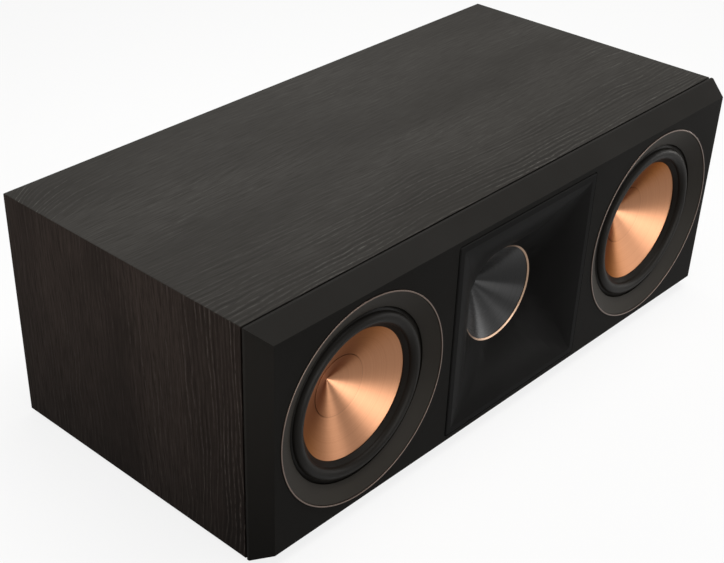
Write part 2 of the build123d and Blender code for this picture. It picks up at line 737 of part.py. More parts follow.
def throat_insert():
    """Conical throat with a small exit, hollowed behind for the tweeter's dome."""
    mouth = THROAT_RADIUS - RING_WIDTH
    sphere = DOME_SPHERE + DOME_GAP
    exit_rear = DOME_CENTRE - math.sqrt(sphere**2 - EXIT_RADIUS**2)
    rim_radius = DOME_RIM_RADIUS + SEAM
    rim_front = DOME_BASE - DOME_GAP
    cavity_radius = math.sqrt(sphere**2 - (DOME_CENTRE - rim_front) ** 2)
    half_way = (EXIT_RADIUS + cavity_radius) / 2
    half_depth = DOME_CENTRE - math.sqrt(sphere**2 - half_way**2)
    outline = Polyline(
        (EXIT_RADIUS, exit_rear),
        (EXIT_RADIUS, EXIT_DEPTH),
        (mouth, INSERT_FRONT),
        (INSERT_RADIUS, INSERT_FRONT),
        (INSERT_RADIUS, INSERT_SEAT),
        (INSERT_STEM, INSERT_SEAT),
        (INSERT_STEM, TWEETER_FRONT),
        (rim_radius, TWEETER_FRONT),
        (rim_radius, rim_front),
        (cavity_radius, rim_front),
    )
    outline += ThreePointArc((cavity_radius, rim_front), (half_way, half_depth), (EXIT_RADIUS, exit_rear))
    insert = turned(outline, 0)
    for x, z in around(INSERT_SCREWS, INSERT_SCREW_RADIUS):
        insert -= rod(SCREW_RADIUS + PILOT_GAP, INSERT_FRONT, INSERT_SEAT, x, MID_Z + z)
    return insert


def tweeter_dome():
    """Thin dome and its flat rim, formed in one piece."""
    rear = DOME_BASE + DOME_WALL
    inner = DOME_SPHERE - DOME_WALL
    inner_foot = math.sqrt(inner**2 - (DOME_CENTRE - rear) ** 2)
    half_outer = DOME_CENTRE - math.sqrt(DOME_SPHERE**2 - (DOME_RADIUS / 2) ** 2)
    half_inner = DOME_CENTRE - math.sqrt(inner**2 - (inner_foot / 2) ** 2)
    outline = ThreePointArc((0, DOME_TOP), (DOME_RADIUS / 2, half_outer), (DOME_RADIUS, DOME_BASE))
    outline += Polyline(
        (DOME_RADIUS, DOME_BASE), (DOME_RIM_RADIUS, DOME_BASE), (DOME_RIM_RADIUS, rear), (inner_foot, rear)
    )
    outline += ThreePointArc((inner_foot, rear), (inner_foot / 2, half_inner), (0, DOME_TOP + DOME_WALL))
    outline += Line((0, DOME_TOP + DOME_WALL), (0, DOME_TOP))
    return turned(outline, 0)


def tweeter_yoke():
    """Back plate and vented pole of the tweeter."""
    pole = DOME_RADIUS - COIL_GAP
    return turned(
        Polyline(
            (TWEETER_VENT, TWEETER_FRONT),
            (pole, TWEETER_FRONT),
            (pole, TWEETER_MAGNET_REAR),
            (TWEETER_PLATE_RADIUS, TWEETER_MAGNET_REAR),
            (TWEETER_PLATE_RADIUS, TWEETER_REAR),
            (TWEETER_VENT, TWEETER_REAR),
            close=True,
        ),
        0,
    )


def tweeter_rear_cup():
    """Closed chamber behind the tweeter's vent."""
    rear = TWEETER_REAR + REAR_CUP_DEPTH
    inner = REAR_CUP_RADIUS - REAR_CUP_WALL
    return turned(
        Polyline(
            (inner, TWEETER_REAR),
            (REAR_CUP_RADIUS, TWEETER_REAR),
            (REAR_CUP_RADIUS, rear),
            (0, rear),
            (0, rear - REAR_CUP_WALL),
            (inner, rear - REAR_CUP_WALL),
            close=True,
        ),
        0,
    )


def tweeter():
    """The horn and everything behind it but the screws."""
    coil_front = DOME_BASE + DOME_WALL + GLUE_LINE / 2
    coil_outer = DOME_RADIUS + COIL_WALL
    plate_bore = coil_outer + COIL_GAP
    return {
        "horn": horn(),
        "horn_accent_ring": horn_accent_ring(),
        "throat_insert": throat_insert(),
        "tweeter_dome": tweeter_dome(),
        "tweeter_voice_coil": ring(DOME_RADIUS, coil_outer, coil_front, coil_front + COIL_HEIGHT, 0),
        "tweeter_front_plate": ring(plate_bore, TWEETER_PLATE_RADIUS, TWEETER_FRONT, TWEETER_PLATE_REAR, 0),
        "tweeter_magnet": ring(
            TWEETER_MAGNET_BORE, TWEETER_MAGNET_RADIUS, TWEETER_PLATE_REAR, TWEETER_MAGNET_REAR, 0
        ),
        "tweeter_yoke": tweeter_yoke(),
        "tweeter_rear_cup": tweeter_rear_cup(),
    }


def countersunk_outline(gap):
    """Half section of a countersunk screw, its head flush at depth 0, grown by a gap."""
    return Polyline(
        (0, 0),
        (SCREW_HEAD_RADIUS + gap, 0),
        (SCREW_RADIUS + gap, SCREW_HEAD),
        (SCREW_RADIUS + gap, SCREW_LENGTH),
        (0, SCREW_LENGTH),
        close=True,
    )


def countersunk_hole(front, rear, x, z):
    """Countersunk clearance hole through a flange whose face is at its front depth."""
    cutter = place(x, front, z) * revolve(make_face(countersunk_outline(PILOT_GAP)), Axis.Y)
    width = 2 * (SCREW_HEAD_RADIUS + PILOT_GAP)
    return cutter & block(width, front, rear, width, x, z)


def cross_recess(face):
    """Cross-shaped pocket for a screwdriver, in a head with its face at a depth."""
    pocket = Box(RECESS_LENGTH, RECESS_DEPTH, RECESS_WIDTH) + Box(RECESS_WIDTH, RECESS_DEPTH, RECESS_LENGTH)
    return Pos(0, face + RECESS_DEPTH / 2, 0) * pocket


def countersunk_screws():
    """Screws of the two woofers and of the terminal cup."""
    screw = revolve(make_face(countersunk_outline(0)), Axis.Y) - cross_recess(0)
    screws = []
    for side in SIDES.values():
        for x, z in around(WOOFER_SCREWS, WOOFER_SCREW_RADIUS, WOOFER_SCREW_TURN):
            screws.append(place(side * WOOFER_X + x, FLANGE_FRONT, MID_Z + z) * screw)
    for x, z in cup_screw_points():
        screws.append(place(x, BACK, MID_Z + z) * Rot(180, 0, 0) * screw)
    return Compound(screws)


def pan_head_screws():
    """Screws of the horn, through the baffle from behind, and of the tweeter."""
    outline = Polyline(
        (0, -SCREW_HEAD),
        (SCREW_HEAD_RADIUS, -SCREW_HEAD),
        (SCREW_HEAD_RADIUS, 0),
        (SCREW_RADIUS, 0),
        (SCREW_RADIUS, SCREW_LENGTH),
        (0, SCREW_LENGTH),
        close=True,
    )
    screw = Rot(180, 0, 0) * (revolve(make_face(outline), Axis.Y) - cross_recess(-SCREW_HEAD))
    screws = [place(x, BAFFLE_REAR, MID_Z + z) * screw for x, z in boss_points()]
    for x, z in around(INSERT_SCREWS, INSERT_SCREW_RADIUS):
        screws.append(place(x, INSERT_SEAT, MID_Z + z) * screw)
    return Compound(screws)


def port(side):
    """Flared tube in one moulding, its flange flush with the back."""
    flange = PORT_RADIUS + PORT_FLARE + PORT_FLANGE_WIDTH
    mouth = PORT_RADIUS + PORT_FLARE
    outer = PORT_RADIUS + PORT_WALL
    outer_mouth = mouth + PORT_WALL
    seat = BACK - PORT_FLANGE
    flare_end = BACK - PORT_FLARE
    end = BACK - PORT_LENGTH
    bend = 1 - math.sqrt(0.5)
    outline = Polyline((outer_mouth, seat), (flange, seat), (flange, BACK), (mouth, BACK))
    outline += ThreePointArc(
        (mouth, BACK), (PORT_RADIUS + bend * PORT_FLARE, BACK - bend * PORT_FLARE), (PORT_RADIUS, flare_end)
    )
    outline += Polyline((PORT_RADIUS, flare_end), (PORT_RADIUS, end), (outer, end), (outer, flare_end))
    outline += Line((outer, flare_end), (outer_mouth, seat))
    return turned(outline, side * PORT_X)


def cup_body(gap, front):
    """Block of the terminal cup behind its flange, grown by a gap."""
    width = CUP_WIDTH - 2 * CUP_RIM + 2 * gap
    height = CUP_HEIGHT - 2 * CUP_RIM + 2 * gap
    return rounded_block(width, height, CUP_CORNER + gap, front, BACK)


def cup_screw_points():
    """Screws at the corners of the terminal cup's flange."""
    x = CUP_WIDTH / 2 - CUP_SCREW_INSET
    z = CUP_HEIGHT / 2 - CUP_SCREW_INSET
    return [(-x, -z), (-x, z), (x, -z), (x, z)]


def terminal_cup():
    """Moulded dish with a flush flange and two holes for the binding posts."""
    cup = rounded_block(CUP_WIDTH, CUP_HEIGHT, CUP_CORNER, BACK - CUP_FLANGE, BACK)
    cup += cup_body(0, CUP_FLOOR - CUP_WALL)
    cup -= cup_body(-CUP_WALL, CUP_FLOOR)
    for side in POSTS.values():
        cup -= rod(STUD_RADIUS + THREAD_GAP, CUP_FLOOR - CUP_WALL, CUP_FLOOR, side * POST_SPACING / 2, MID_Z)
    for x, z in cup_screw_points():
        hole = Rot(180, 0, 0) * revolve(make_face(countersunk_outline(PILOT_GAP)), Axis.Y)
        cup -= place(x, BACK, MID_Z + z) * hole
    return cup


def binding_post(x):
    """Threaded stud with a collar on the cup's floor and a socket in its outer end."""
    tail = CUP_FLOOR - CUP_WALL - STUD_TAIL
    socket = STUD_END - BANANA_DEPTH
    return turned(
        Polyline(
            (0, tail),
            (STUD_RADIUS, tail),
            (STUD_RADIUS, CUP_FLOOR),
            (STUD_COLLAR_RADIUS, CUP_FLOOR),
            (STUD_COLLAR_RADIUS, COLLAR_TOP),
            (STUD_RADIUS, COLLAR_TOP),
            (STUD_RADIUS, STUD_END),
            (BANANA_RADIUS, STUD_END),
            (BANANA_RADIUS, socket),
            (0, socket),
            close=True,
        ),
        x,
    )


def post_cap(x):
    """Fluted screw cap with a hole in its end for a plug."""
    bore = STUD_RADIUS + THREAD_GAP
    end = CAP_SEAT + CAP_LENGTH
    cap = ring(bore, CAP_OUTER_RADIUS, CAP_SEAT, end, x)
    for dx, dz in around(CAP_FLUTES, CAP_OUTER_RADIUS):
        cap -= rod(FLUTE_RADIUS, CAP_SEAT + WASHER, end, x + dx, MID_Z + dz)
    return cap


def post_nuts():
    """Hexagon nuts that hold the studs, inside the box."""
    rear = CUP_FLOOR - CUP_WALL
    face = Plane.XZ * RegularPolygon(NUT_SIZE / 2, 6, major_radius=False)
    nut = extrude(face, NUT_HEIGHT)
    nuts = []
    for side in POSTS.values():
        x = side * POST_SPACING / 2
        hole = rod(STUD_RADIUS + GLUE_LINE, rear - NUT_HEIGHT, rear, x, MID_Z)
        nuts.append(place(x, rear, MID_Z) * nut - hole)
    return Compound(nuts)


def terminals():
    """Terminal cup, binding posts and what is on them."""
    nodes = {"terminal_cup": terminal_cup(), "post_nuts": post_nuts()}
    for name, side in POSTS.items():
        x = side * POST_SPACING / 2
        bore = STUD_RADIUS + THREAD_GAP
        nodes[f"{name}_binding_post"] = binding_post(x)
        nodes[f"{name}_clamp_washer"] = ring(bore, STUD_COLLAR_RADIUS, WASHER_SEAT, WASHER_SEAT + WASHER, x)
        nodes[f"{name}_cap"] = post_cap(x)
    return nodes


def crossover():
    """Filter board on standoffs behind the tweeter, with its parts."""
    board = Box(BOARD_WIDTH, BOARD_LENGTH, BOARD_THICKNESS)
    reach_x = BOARD_WIDTH / 2 - STANDOFF_INSET
    reach_y = BOARD_LENGTH / 2 - STANDOFF_INSET
    standoff = Cylinder(STANDOFF_RADIUS, STANDOFF_HEIGHT)
    height = BOARD_Z - STANDOFF_HEIGHT / 2
    corners = [(x, y) for x in (-reach_x, reach_x) for y in (-reach_y, reach_y)]
    front_row = BOARD_DEPTH + INDUCTOR_RADIUS + STANDOFF_INSET
    rear_row = BOARD_DEPTH + BOARD_LENGTH - CAPACITOR_LENGTH / 2 - STANDOFF_INSET
    inductor = Cylinder(INDUCTOR_RADIUS, INDUCTOR_HEIGHT) - Cylinder(INDUCTOR_BORE, INDUCTOR_HEIGHT)
    capacitor = Rot(90, 0, 0) * Cylinder(CAPACITOR_RADIUS, CAPACITOR_LENGTH)
    resistor = Box(RESISTOR_SIDE, RESISTOR_LENGTH, RESISTOR_SIDE)
    middle = (CAPACITORS - 1) / 2
    lift = BOARD_TOP + CAPACITOR_RADIUS + GLUE_LINE
    return {
        "crossover_board": place(0, BOARD_MIDDLE, BOARD_Z + BOARD_THICKNESS / 2) * board,
        "board_standoffs": Compound([place(x, BOARD_MIDDLE + y, height) * standoff for x, y in corners]),
        "inductors": Compound(
            [
                place(side * INDUCTOR_SPACING / 2, front_row, BOARD_TOP + INDUCTOR_HEIGHT / 2) * inductor
                for side in SIDES.values()
            ]
        ),
        "capacitors": Compound(
            [
                place((index - middle) * CAPACITOR_SPACING, rear_row, lift) * capacitor
                for index in range(CAPACITORS)
            ]
        ),
        "resistors": Compound(
            [
                place(side * RESISTOR_SPACING / 2, rear_row, BOARD_TOP + RESISTOR_SIDE / 2) * resistor
                for side in SIDES.values()
            ]
        ),
    }


def speaker():
    """Every node of the speaker by name."""
    nodes = box_panels()
    nodes["front_baffle"] = front_baffle()
    nodes["back_panel"] = back_panel()
    nodes["rubber_feet"] = rubber_feet()
    nodes["damping_pads"] = damping_pads()
    nodes["woofer_gaskets"] = Compound([gasket(side * WOOFER_X) for side in SIDES.values()])
    nodes["countersunk_screws"] = countersunk_screws()
    nodes["pan_head_screws"] = pan_head_screws()
    for name, side in SIDES.items():
        nodes[f"{name}_brace"] = brace(side)
        nodes[f"{name}_port"] = port(side)
        nodes.update(woofer(name, side * WOOFER_X))
    nodes.update(tweeter())
    nodes.update(terminals())
    nodes.update(crossover())
    return nodes


os.makedirs("parts", exist_ok=True)
for node_name, shape in speaker().items():
    export_step(shape, f"parts/{node_name}.step")
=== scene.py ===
import json
import math
from typing import NamedTuple

import bmesh
import bpy
from mathutils import Matrix, Vector
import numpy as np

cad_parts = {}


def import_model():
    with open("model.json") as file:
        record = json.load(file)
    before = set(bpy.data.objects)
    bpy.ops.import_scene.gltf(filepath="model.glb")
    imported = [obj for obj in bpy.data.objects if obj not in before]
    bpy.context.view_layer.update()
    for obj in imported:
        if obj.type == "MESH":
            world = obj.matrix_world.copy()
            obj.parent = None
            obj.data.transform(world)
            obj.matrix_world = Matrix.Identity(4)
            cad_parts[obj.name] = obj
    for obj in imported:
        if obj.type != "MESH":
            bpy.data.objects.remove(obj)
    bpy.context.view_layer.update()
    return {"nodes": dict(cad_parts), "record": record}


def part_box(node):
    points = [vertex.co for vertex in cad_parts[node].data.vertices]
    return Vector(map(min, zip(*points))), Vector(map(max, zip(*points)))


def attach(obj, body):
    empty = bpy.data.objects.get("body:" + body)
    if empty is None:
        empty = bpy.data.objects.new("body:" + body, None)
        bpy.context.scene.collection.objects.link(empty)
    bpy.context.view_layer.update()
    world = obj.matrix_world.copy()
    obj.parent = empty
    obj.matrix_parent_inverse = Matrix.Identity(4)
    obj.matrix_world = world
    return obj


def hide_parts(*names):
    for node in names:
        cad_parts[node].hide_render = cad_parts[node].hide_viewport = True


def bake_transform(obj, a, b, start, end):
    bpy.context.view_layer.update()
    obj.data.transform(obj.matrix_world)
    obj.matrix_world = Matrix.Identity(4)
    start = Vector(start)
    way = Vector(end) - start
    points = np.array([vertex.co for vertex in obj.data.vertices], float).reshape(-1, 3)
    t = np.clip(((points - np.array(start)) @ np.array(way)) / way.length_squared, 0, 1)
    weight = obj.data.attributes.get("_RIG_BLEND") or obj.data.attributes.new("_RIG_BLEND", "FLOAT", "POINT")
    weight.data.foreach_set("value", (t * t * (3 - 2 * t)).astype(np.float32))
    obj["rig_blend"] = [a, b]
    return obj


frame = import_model()

# Metres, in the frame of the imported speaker: X along the box, the front faces -Y, +Z is up.
MM = 0.001
HALF_TURN = 180
SIDES = ("left", "right")

# Camera, at the photograph's viewpoint
LENS = 68.10
SENSOR = 36.0
SHIFT = (0.1045, 0.1323)
EYE = (-0.68439, -0.57592, 0.59772)
TILT = math.radians(54.7356)
TURN = math.radians(-45)

# Turned pieces: steps round the axis and round an eased corner
SEGMENTS = 192
CORNER_STEPS = 4
# An easing takes at most this share of the edges at its corner, and a support point lies just past its ends.
EDGE_SHARE = 0.25
SUPPORT_REACH = 1.5

# Woofer profile as radius and depth behind the baffle's face
TRIM_RADIUS = 74.8 * MM
TRIM_SHOULDER = 73.7 * MM
TRIM_INNER = 61.5 * MM
TRIM_DISH = 5.6 * MM
TRIM_UNDER = 6.4 * MM
TRIM_SEAT = 1.7 * MM
TRIM_REAR = 10.5 * MM
TRIM_EASE = 0.35 * MM
SKIRT_INNER = 71.2 * MM
ACCENT_INNER = 73.8 * MM
ACCENT_REAR = 1.6 * MM
ACCENT_PROUD = 0.6 * MM
ACCENT_EASE = 0.45 * MM
ROLL_MIDDLE = 54.5 * MM
ROLL_RADIUS = 4.5 * MM
ROLL_BASE = 7.3 * MM
ROLL_FRONT_STEPS = 24
ROLL_REAR_STEPS = 20
# Degrees at which the roll's front rises from its flange
FLANGE_ANGLE = 10.2
LIP_BEND = 0.4 * MM
RUBBER = 0.8 * MM
SURROUND_RADIUS = 63.4 * MM
CONE_EDGE = 49.75 * MM
CONE_LIP = 46.8 * MM
CONE_LIP_DEPTH = 9.76 * MM
CONE_NECK = 16.5 * MM
CONE_SLOPE = 0.5184
CONE_WALL = 0.8 * MM
CONE_EASE = 0.2 * MM
# Gap between the cone's front and the surround's lip
LIP_GLUE = 0.25 * MM
CAP_RADIUS = 22.0 * MM
CAP_RISE = 0.6 * MM
CAP_GLUE = 0.1 * MM
CAP_EASE = 0.25 * MM
# The cap's outline ends just off the axis, so that it can be turned.
CAP_TIP = 0.02 * MM

# Tones of moulded surfaces. Noise scales are counts per metre, and spans are ranges of a noise.
CLOUD_SCALE = 14.0
CLOUD_SPAN = (0.35, 0.65)
GRAIN_SPAN = (0.3, 0.7)
GRAIN_ROUGHNESS = 0.06
GRAIN_BUMP = 0.4
NOISE_MIDDLE = 0.5

# Wood vinyl. Scales of stretched noises are counts per metre along the board and across it.
VINYL_ROUGHNESS = 0.5
SWAY_SCALE = (2.6, 8.0)
DRIFT_SCALE = (16.0, 45.0)
DRIFT_SIZE = 10 * MM
# Radians per metre across the board
RING_PHASE = 1500.0
RING_CREST = (0.6, 0.97)
RING_TROUGH = (0.0, -0.8)
STRENGTH_SCALE = (9.0, 230.0)
STRENGTH_SPAN = (0.42, 0.62)
STRENGTH_LEVELS = (0.15, 1.0)
DASH_SCALE = (160.0, 1100.0)
DASH_SPAN = (0.4, 0.62)
FIBRE_SCALE = (45.0, 900.0)
FIBRE_SPAN = (0.38, 0.66)
FIBRE_NOISE_ROUGHNESS = 0.65
FRONT_BAND = (-115 * MM, -35 * MM)
# Patches and clouds are finer than the sway by these factors.
PATCH_SCALE = 2.3
BOARD_CLOUD_SCALE = 1.7
PATCH_SPAN = (0.52, 0.7)
PATCH_LEVELS = (0.0, 0.5)
BOARD_CLOUD_SPAN = (0.3, 0.7)
# Painted shade: the boards are darkened towards the front edge, as if less light reached it.
FRONT_PAINTED_SHADE_SPAN = (0.3, 1.0)
FRONT_PAINTED_SHADE = 0.4
HOLLOW_TONE = 0.4
HOLLOW_SHARE = 0.6
VINYL_ROUGHNESS_SPAN = (0.2, 0.8)
VINYL_ROUGHNESS_LEVELS = (0.44, 0.6)
FIBRE_RELIEF = 0.3
VINYL_BUMP = 0.4
VINYL_RELIEF = 0.1 * MM
CURL_REACH = 28 * MM
CURL_BAND = (50 * MM, 100 * MM)
# A board's thickness runs along Z where its grain runs along X, and the other way about.
THROUGH = {"X": "Z", "Z": "X"}
BOX_REACH = {"X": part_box("top_panel")[1].z, "Z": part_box("right_side_panel")[1].x}
LEFT_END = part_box("top_panel")[0].x

# Surfaces turned on a lathe
GROOVE_SCALE = 3200.0
GROOVE_SPAN = (0.3, 0.7)
GROOVE_ROUGHNESS = 0.015
GROOVE_BUMP = 0.05
GROOVE_DEPTH = 0.01 * MM
# Bands of tone are broader than the grooves, at this share of their scale.
BAND_SCALE = 0.25
BAND_NOISE_ROUGHNESS = 0.7
SEAM_WIDTHS = (0.15 * MM, 0.5 * MM)
SEAM_SHARE = 0.35
SEAM_TONE = (0.02, 0.01, 0.006)
# A quarter turn lays the stretched highlights across the rings.
QUARTER = 0.25

# Studio
FLOOR_SIZE = 16.0
FLOOR_CELLS = 8
FLOOR_TONE = (0.2, 0.2, 0.2)
FLOOR_SEEN_TONE = (0.95, 0.95, 0.95)
FLOOR_ROUGHNESS = 0.9
FLOOR_GLOW = 0.85
WORLD_LIGHT = 0.16
WORLD_SEEN = 0.88
WHITE = (1.0, 1.0, 1.0)
SOFT_WHITE = (1.0, 0.99, 0.97)
CREAM = (1.0, 0.97, 0.94)
WARM = (1.0, 0.94, 0.88)
# How far each woofer's front panel stands to the side of its axis
GLINT_SHIFT = {"left": -35 * MM, "right": 40 * MM}
GLINT_Y = -420 * MM
GLINT_Z = 93 * MM


def middle(node):
    """Centre of a node's box at rest."""
    low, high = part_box(node)
    return (low + high) / 2


FACE_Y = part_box("front_baffle")[0].y
HORN_Z = middle("horn").z


class Finish:
    """A material's node tree, with short calls for the nodes that the finishes share."""

    def __init__(self, name, colour, roughness, metallic=0.0, specular=0.5):
        self.material = bpy.data.materials.new(name)
        self.material.use_nodes = True
        self.tree = self.material.node_tree
        self.shader = self.tree.nodes["Principled BSDF"]
        self.shader.inputs["Base Color"].default_value = (*colour, 1)
        self.shader.inputs["Roughness"].default_value = roughness
        self.shader.inputs["Metallic"].default_value = metallic
        self.shader.inputs["Specular IOR Level"].default_value = specular

    def add(self, kind, **inputs):
        """New node, with its inputs fed by name."""
        node = self.tree.nodes.new("ShaderNode" + kind)
        for name, value in inputs.items():
            self.feed(node.inputs[name], value)
        return node

    def feed(self, socket, value):
        """Links a node's first output or a socket, or sets a plain value."""
        if isinstance(value, bpy.types.Node):
            value = value.outputs[0]
        if isinstance(value, bpy.types.NodeSocket):
            self.tree.links.new(value, socket)
        else:
            socket.default_value = value

    def place(self):
        """Coordinates in the piece's own space, in metres."""
        return self.add("TexCoord").outputs["Object"]

    def noise(self, vector, scale=1.0, detail=2.0, roughness=0.55):
        """Noise from 0 to 1."""
        node = self.add("TexNoise", Vector=vector, Scale=scale, Detail=detail, Roughness=roughness)
        return node.outputs["Fac"]

    def swing(self, vector, size):
        """Noise that swings to both sides of zero, about half as far as its size."""
        return self.times(self.math("SUBTRACT", self.noise(vector), NOISE_MIDDLE), size)

    def math(self, operation, first, second=0.0, clamp=False):
        """Result of a sum or function, kept from 0 to 1 if clamped."""
        node = self.tree.nodes.new("ShaderNodeMath")
        node.operation = operation
        node.use_clamp = clamp
        self.feed(node.inputs[0], first)
        self.feed(node.inputs[1], second)
        return node.outputs[0]

    def times(self, first, *others):
        """Product of two or more values."""
        for other in others:
            first = self.math("MULTIPLY", first, other)
        return first

    def span(self, value, source, target=(0.0, 1.0)):
        """Value brought from one range to another, kept inside it."""
        node = self.add("MapRange")
        for index, item in enumerate((value, *source, *target)):
            self.feed(node.inputs[index], item)
        return node.outputs[0]

    def blend(self, share, first, second):
        """Colour between two colours."""
        node = self.tree.nodes.new("ShaderNodeMix")
        node.data_type = "RGBA"
        self.feed(node.inputs["Factor"], share)
        for socket, colour in ((node.inputs["A"], first), (node.inputs["B"], second)):
            self.feed(socket, (*colour, 1) if isinstance(colour, tuple) else colour)
        return node.outputs["Result"]

    def colour(self, value):
        """Feeds the shader's colour."""
        self.feed(self.shader.inputs["Base Color"], value)

    def rough(self, value):
        """Feeds the shader's roughness."""
        self.feed(self.shader.inputs["Roughness"], value)

    def bump(self, height, strength, distance):
        """Fine relief from a height, as deep as a distance."""
        node = self.add("Bump", Height=height, Strength=strength, Distance=distance)
        self.feed(self.shader.inputs["Normal"], node)


class Moulded(NamedTuple):
    """A moulded, painted, plated or woven surface.

    Grain is the scale of its fine bumps per metre, and depth is their height.
    """

    dark: tuple
    light: tuple
    roughness: float
    specular: float
    grain: float = 900.0
    depth: float = 0.02 * MM
    metallic: float = 0.0


class Board(NamedTuple):
    """A board in wood vinyl, whose grain runs along one axis, sways, and may curl forward at its left end.

    Grain_share is how far the fibres darken it, and pore_share how many pores it has away from the front.
    """

    along: str
    dark: tuple
    light: tuple
    # Pale colour painted on the pores as their highlight
    pore_highlight: tuple
    specular: float
    sway: float
    grain_share: float
    pore_share: float
    curl: float = 0.0


class Spun(NamedTuple):
    """A surface turned about an axis along Y.

    Seam is the radius of a dark glue line, and edge the tint of a metal seen along its surface.
    """

    dark: tuple
    light: tuple
    roughness: float
    anisotropy: float = 0.0
    metallic: float = 1.0
    specular: float = 0.5
    axis_z: float = 0.0
    edge: tuple = WHITE
    seam: float = 0.0


class Lamp(NamedTuple):
    """A rectangular soft light that points at a target.

    One with gloss_only shows in reflections and doesn't light the matt part of a surface.
    """

    place: tuple
    target: tuple
    width: float
    height: float
    watts: float
    colour: tuple = WHITE
    spread: float = HALF_TURN
    gloss_only: bool = False


def moulded(name, look):
    """Cloudy tone and a fine grain."""
    finish = Finish(name, look.light, look.roughness, look.metallic, look.specular)
    place = finish.place()
    cloud = finish.noise(place, CLOUD_SCALE, detail=4.0)
    grain = finish.noise(place, look.grain)
    finish.colour(finish.blend(finish.span(cloud, CLOUD_SPAN), look.dark, look.light))
    levels = (look.roughness - GRAIN_ROUGHNESS, look.roughness + GRAIN_ROUGHNESS)
    finish.rough(finish.span(grain, GRAIN_SPAN, levels))
    finish.bump(grain, GRAIN_BUMP, look.depth)
    return finish.material


def wood_vinyl(name, board):
    """Dark embossed wood: fine fibres, broken pores painted pale as highlights and dark hollows, most of
    them near the front, which also gets painted shade.
    """
    finish = Finish(name, board.light, VINYL_ROUGHNESS, specular=board.specular)
    axes = finish.add("SeparateXYZ", Vector=finish.place())
    run = axes.outputs[board.along]
    depth = axes.outputs["Y"]
    through = finish.math("ABSOLUTE", axes.outputs[THROUGH[board.along]])
    across = finish.math("ADD", depth, finish.math("SUBTRACT", through, BOX_REACH[board.along]))

    def stretched(value, scales):
        """Coordinates that draw a noise out along the board."""
        return finish.add("CombineXYZ", X=finish.times(run, scales[0]), Y=finish.times(value, scales[1]))

    slow = stretched(across, SWAY_SCALE)
    bent = finish.math("ADD", across, finish.swing(slow, board.sway))
    near_front = finish.span(depth, FRONT_BAND, (1.0, board.pore_share))
    patch = finish.span(finish.noise(slow, PATCH_SCALE), PATCH_SPAN, PATCH_LEVELS)
    amount = finish.math("ADD", near_front, patch, clamp=True)
    if board.curl:
        from_end = finish.times(finish.math("SUBTRACT", LEFT_END, run), 1 / CURL_REACH)
        corner = finish.times(finish.math("EXPONENT", from_end), finish.span(depth, CURL_BAND))
        bent = finish.math("ADD", bent, finish.times(corner, board.curl))
        amount = finish.math("ADD", amount, corner, clamp=True)

    ring_place = finish.math("ADD", bent, finish.swing(stretched(bent, DRIFT_SCALE), DRIFT_SIZE))
    wave = finish.math("SINE", finish.times(ring_place, RING_PHASE))
    strength = finish.noise(stretched(ring_place, STRENGTH_SCALE), detail=1.0)
    strength = finish.span(strength, STRENGTH_SPAN, STRENGTH_LEVELS)
    dashes = finish.noise(stretched(bent, DASH_SCALE), detail=3.0, roughness=FIBRE_NOISE_ROUGHNESS)
    fibres = finish.noise(stretched(bent, FIBRE_SCALE), detail=4.0, roughness=FIBRE_NOISE_ROUGHNESS)
    pores = finish.times(finish.span(wave, RING_CREST), strength, finish.span(dashes, DASH_SPAN), amount)
    hollows = finish.times(finish.span(wave, RING_TROUGH), strength, near_front, HOLLOW_SHARE)

    cloud = finish.noise(slow, BOARD_CLOUD_SCALE, detail=4.0)
    tone = finish.blend(finish.span(cloud, BOARD_CLOUD_SPAN), board.dark, board.light)
    tone = finish.blend(finish.span(fibres, FIBRE_SPAN, (0.0, board.grain_share)), tone, board.dark)
    # Painted shade: darker towards the front edge.
    tone = finish.blend(finish.span(near_front, FRONT_PAINTED_SHADE_SPAN, (0.0, FRONT_PAINTED_SHADE)), tone, board.dark)
    tone = finish.blend(hollows, tone, tuple(HOLLOW_TONE * part for part in board.dark))
    # Painted highlight: the pores take the pale colour, where embossed pores would catch the light.
    finish.colour(finish.blend(pores, tone, board.pore_highlight))
    finish.rough(finish.span(fibres, VINYL_ROUGHNESS_SPAN, VINYL_ROUGHNESS_LEVELS))
    relief = finish.math("SUBTRACT", finish.times(fibres, FIBRE_RELIEF), pores)
    finish.bump(relief, VINYL_BUMP, VINYL_RELIEF)
    return finish.material


def spun(name, look):
    """Fine rings round an axis along Y, which stretch the highlights outwards."""
    finish = Finish(name, look.light, look.roughness, look.metallic, look.specular)
    place = finish.add("Mapping", Vector=finish.place(), Location=(0, 0, -look.axis_z))
    axes = finish.add("SeparateXYZ", Vector=place)
    length = finish.tree.nodes.new("ShaderNodeVectorMath")
    length.operation = "LENGTH"
    finish.feed(length.inputs[0], finish.add("CombineXYZ", X=axes.outputs["X"], Z=axes.outputs["Z"]))
    radius = length.outputs["Value"]
    rings = finish.add("CombineXYZ", X=finish.times(radius, GROOVE_SCALE))
    groove = finish.noise(rings)
    band = finish.noise(rings, BAND_SCALE, detail=3.0, roughness=BAND_NOISE_ROUGHNESS)
    tone = finish.blend(finish.span(band, GROOVE_SPAN), look.dark, look.light)
    if look.seam:
        line = finish.math("ABSOLUTE", finish.math("SUBTRACT", radius, look.seam))
        tone = finish.blend(finish.span(line, SEAM_WIDTHS, (SEAM_SHARE, 0.0)), tone, SEAM_TONE)
    finish.colour(tone)
    levels = (look.roughness - GROOVE_ROUGHNESS, look.roughness + GROOVE_ROUGHNESS)
    finish.rough(finish.span(groove, GROOVE_SPAN, levels))
    finish.bump(groove, GROOVE_BUMP, GROOVE_DEPTH)
    tangent = finish.add("Tangent")
    tangent.direction_type = "RADIAL"
    tangent.axis = "Y"
    finish.feed(finish.shader.inputs["Tangent"], tangent)
    finish.shader.inputs["Specular Tint"].default_value = (*look.edge, 1)
    finish.shader.inputs["Anisotropic"].default_value = look.anisotropy
    finish.shader.inputs["Anisotropic Rotation"].default_value = QUARTER
    return finish.material


